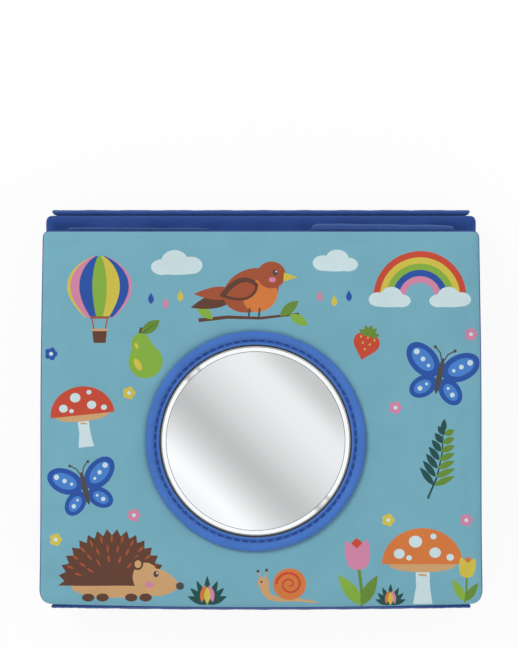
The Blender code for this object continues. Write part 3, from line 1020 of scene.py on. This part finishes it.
def stitch_tree():
    """Stitches along a line: the line is cut to the stitch pitch and a thread lies at each point."""
    tree = bpy.data.node_groups.new("row of stitches", "GeometryNodeTree")
    for label, way, kind in (("Geometry", "INPUT", "Geometry"), ("Pitch", "INPUT", "Float"),
                             ("Length", "INPUT", "Float"), ("Thickness", "INPUT", "Float"),
                             ("Thread", "INPUT", "Material"), ("Geometry", "OUTPUT", "Geometry")):
        tree.interface.new_socket(name=label, in_out=way, socket_type="NodeSocket" + kind)
    given = add_node(tree, "NodeGroupInput").outputs
    line = add_node(tree, "GeometryNodeMeshToCurve", {"Mesh": given["Geometry"]})
    spaced = add_node(tree, "GeometryNodeResampleCurve", {"Curve": line, "Length": given["Pitch"]}, mode="LENGTH")
    turn = add_node(tree, "FunctionNodeAlignRotationToVector",
                    {"Vector": add_node(tree, "GeometryNodeInputTangent")}, axis="X")
    bead = add_node(tree, "GeometryNodeMeshUVSphere", {"Segments": 8, "Rings": 6, "Radius": 0.5})
    size = add_node(tree, "ShaderNodeCombineXYZ",
                    {"X": given["Length"], "Y": given["Thickness"], "Z": given["Thickness"]})
    shaped = add_node(tree, "GeometryNodeTransform", {"Geometry": bead, "Scale": size})
    laid = add_node(tree, "GeometryNodeInstanceOnPoints", {"Points": spaced, "Instance": shaped, "Rotation": turn})
    real = add_node(tree, "GeometryNodeRealizeInstances", {"Geometry": laid})
    coloured = add_node(tree, "GeometryNodeSetMaterial", {"Geometry": real, "Material": given["Thread"]})
    add_node(tree, "NodeGroupOutput", {"Geometry": coloured})
    return tree


row_of_stitches = stitch_tree()
# The thread is dark partly as painted shade: in the ring's groove its colour stands for the groove's shadow as
# well as the thread's own blue.
thread_and_groove_shade = woven("cobalt thread and groove shade", (0.012, 0.060, 0.270), threads=20000.0, variation=0.05)


def stitches(name, lines, body_name, pitch, length, thickness):
    """Rows of stitches along lists of points, as one plain mesh that rides on a body."""
    mesh = bpy.data.meshes.new(name)
    edges = []
    start = 0
    for line in lines:
        edges += [(start + i, start + i + 1) for i in range(len(line) - 1)]
        start += len(line)
    mesh.from_pydata([tuple(p) for line in lines for p in line], edges, [])
    obj = bpy.data.objects.new(name, mesh)
    scene.collection.objects.link(obj)
    row = obj.modifiers.new("stitches", "NODES")
    row.node_group = row_of_stitches
    wanted = {"Pitch": pitch, "Length": length, "Thickness": thickness, "Thread": thread_and_groove_shade}
    for item in row_of_stitches.interface.items_tree:
        if item.in_out == "INPUT" and item.name in wanted:
            row[item.identifier] = wanted[item.name]
    apply_modifiers(obj)
    obj.data.shade_smooth()
    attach(obj, body_name)


# These stitches fill the ring's groove, and their dark thread paints the groove's shade there.
groove = moved(arc(groove_radius, groove_radius, 0, 360, 180), *mirror_middle)
ring_line = [(x, y, ring_low[2] + groove_height) for x, y in groove]
stitches("mirror_ring_stitches", [ring_line], "cover_panel",
         pitch=2 * math.pi * groove_radius / stitch_count, length=0.0034, thickness=0.0009)

# Closure strips: two short strips of gripping webbing sewn along the cover's free edge, with a
# rolled outer edge. The back panel carries two like them.
web_share = 0.62
bead_place = 0.55
bead_width = 0.35
strip_end_share = 0.1
grip_webbing = woven("gripping webbing", (0.038, 0.100, 0.310), threads=4200.0, bump=0.0003, variation=0.16)


def end_taper(share, power):
    """How thick a long piece still is at a share of its half length, rounded at its very ends."""
    return math.sqrt(max(1 - abs(share) ** power, 0.0))


def through(name, sections, finish, sharp_degrees):
    """A solid through a row of like closed sections, with a flat face at either end."""
    count = len(sections[0])
    last = (len(sections) - 1) * count
    faces = [tuple(range(count)), tuple(last + k for k in range(count))]
    for start in range(0, last, count):
        for k in range(count):
            j = (k + 1) % count
            faces.append((start + k, start + j, start + count + j, start + count + k))
    made = mesh_object(name, [point for section in sections for point in section], faces, closed=True)
    made.data.set_sharp_from_angle(angle=math.radians(sharp_degrees))
    made.data.materials.append(finish)
    return made


def closure_strip(node, body_name):
    """One strip: a flat web that thickens to a rolled bead along its outer edge."""
    low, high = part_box(node)
    outward = 1 if (low[1] + high[1]) > 0 else -1
    half_x, half_y, half_z = ((high[i] - low[i]) / 2 for i in range(3))
    seam_y = low[1] if outward > 0 else high[1]
    columns = 70
    around = 20
    outline = []
    for angle in (2 * math.pi * k / around for k in range(around)):
        along = math.cos(angle)
        bead = web_share + (1 - web_share) * math.exp(-((along - bead_place) / bead_width) ** 2)
        rounded = math.copysign(abs(math.sin(angle)) ** 0.7, math.sin(angle))
        outline.append(((along + 1) * half_y, bead * rounded * half_z))
    sections = []
    for i in range(columns + 1):
        share = -1 + 2 * i / columns
        taper = end_taper(share, 24) * (1 - strip_end_share) + strip_end_share
        wave = 0.00010 * math.sin(share * 19 + low[0] * 400)
        reach = 0.86 - 0.14 * share + 0.03 * math.sin(share * 11 + 1)
        sections.append([((low[0] + high[0]) / 2 + share * half_x, seam_y + outward * y * taper * reach,
                          (low[2] + high[2]) / 2 + z * taper + wave) for y, z in outline])
    strip = through(node + "_web", sections, grip_webbing, 50)
    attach(strip, body_name)
    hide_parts(node)


for side in ("left", "right"):
    closure_strip("cover_closure_strip_" + side, "cover_panel")
    closure_strip("back_closure_strip_" + side, "back_panel")

# Folds: a strip of cobalt cloth sewn to the edges of two panels, along the line where each turns.
# Its cloth stands out a little between the two seams, gathers softly along its length, and ends in a
# rolled hem at either seam, with a row of stitches beside it.
turning_line = 0.0805
fold_thickness = 0.0012
hem_inset = 0.0004
seam_place = 0.55
seam_end_share = 0.985


def rolled_hem(name, y, z, half_x, radius, body_name):
    """The rolled hem where a fold's cloth meets a panel's edge, round about the line it turns on."""
    columns = 160
    around = 14
    sections = []
    for i in range(columns + 1):
        share = -1 + 2 * i / columns
        thick = radius * (1 + 0.05 * math.sin(share * 83) + 0.04 * math.sin(share * 29 + 2))
        thick *= max(end_taper(share, 240), 0.5) * (1 - 0.12 * abs(share) ** 9)
        angles = [2 * math.pi * k / around for k in range(around)]
        sections.append([(share * half_x, y + thick * math.cos(a), z + thick * math.sin(a)) for a in angles])
    hem = through(name, sections, cobalt_cloth, 60)
    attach(hem, body_name)


def fold_cloth(node, body_name, outward, fullness, sag, hem_radius):
    """One fold with its hems and its two rows of stitches. Its middle hangs out further than its ends."""
    low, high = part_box(node)
    half_x = (high[0] - low[0]) / 2
    middle_z = (low[2] + high[2]) / 2
    half_z = (high[2] - low[2]) / 2
    half_thick = fold_thickness / 2
    bulge = fullness * (high[1] - low[1] - fold_thickness)
    seam_y = low[1] + half_thick if outward > 0 else high[1] - half_thick
    columns = 150
    rows = 14

    def place(share_x, share_z, side):
        gather = 0.00006 * math.sin(share_x * 31 + 1.3) + 0.00004 * math.sin(share_x * 67 + share_z * 2)
        middle = (bulge + gather + sag * (1 - share_x * share_x)) * (1 - share_z * share_z)
        offset = half_thick * max(end_taper(share_z, 6), 0.12) * max(end_taper(share_x, 240), 0.5)
        return Vector((share_x * half_x, seam_y + outward * (middle + side * offset), middle_z + share_z * half_z))

    points = []
    for side in (1, -1):
        for j in range(rows + 1):
            share_z = math.sin((-1 + 2 * j / rows) * math.pi / 2)
            points += [place(-1 + 2 * i / columns, share_z, side) for i in range(columns + 1)]
    faces, rim, back = two_sides(columns, rows)
    faces += [(a, back + a, back + b, b) for a, b in zip(rim, rim[1:] + rim[:1])]
    cloth = mesh_object(node + "_sewn", points, faces, closed=True)
    cloth.data.materials.append(cobalt_cloth)
    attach(cloth, body_name)
    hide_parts(node)
    for title, hem_z in (("lower", low[2] + half_thick), ("upper", high[2] - half_thick)):
        rolled_hem(node + "_" + title + "_hem", outward * turning_line, hem_z, half_x - hem_inset, hem_radius,
                   body_name)
    lines = [[place(share_x, share_z, 0.9) for share_x in np.linspace(-seam_end_share, seam_end_share, 120)]
             for share_z in (-seam_place, seam_place)]
    stitches(node + "_stitches", lines, body_name, stitch_pitch, length=0.0025, thickness=0.0003)


fold_cloth("cover_fold_cloth", "cover_fold", -1, fullness=0.4, sag=0.0009, hem_radius=0.0009)
fold_cloth("back_fold_cloth", "back_fold", 1, fullness=1.0, sag=0.0, hem_radius=0.00098)

# Middle panel: two printed page cloths and an edge band, sewn round padding. The real panel holds two
# layers of padding with a crackling film between them; here one padding stands for them, and their CAD
# pieces are hidden. It is made like the cover.
middle_panel = Panel("middle_upper_page", "middle_edge_band", 0)
make_panel("middle", middle_panel,
           ("middle_upper_page", "page_cloth", page_print(middle_panel, ("sunset", "night"))),
           ("middle_lower_page", "page_cloth", page_print(middle_panel, ("sky", "forest"))),
           ["middle_upper_foam", "middle_lower_foam", "crinkle_film"])

# Back panel: two printed page cloths and an edge band, sewn round its padding like the cover. Its
# lower page is what the closed book lies on.
back_panel = Panel("back_upper_page", "back_edge_band", -1)
make_panel("back", back_panel,
           ("back_upper_page", "page_cloth", page_print(back_panel, ("meadow", "sunset"), up=-1)),
           ("back_lower_page", "page_cloth", page_print(back_panel, ("forest", "sky", "moon"))), ["back_foam"])

# Backing board: a grey fibre sheet that keeps the mirror flat, held between it and the padding. Its
# plain CAD solid stays, with a fine grain.
board_finish, board_tree, board_shader = principled("grey fibre board", (0.30, 0.30, 0.29), 0.8)
board_where = add_node(board_tree, "ShaderNodeTexCoord").outputs["Object"]
board_grain = add_node(board_tree, "ShaderNodeTexNoise", {"Vector": board_where, "Scale": 900.0})
set_inputs(board_shader, {"Normal": add_node(board_tree, "ShaderNodeBump",
                                             {"Distance": 0.0001, "Height": board_grain})})
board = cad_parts["mirror_backing_board"]
board.data.materials.clear()
board.data.materials.append(board_finish)
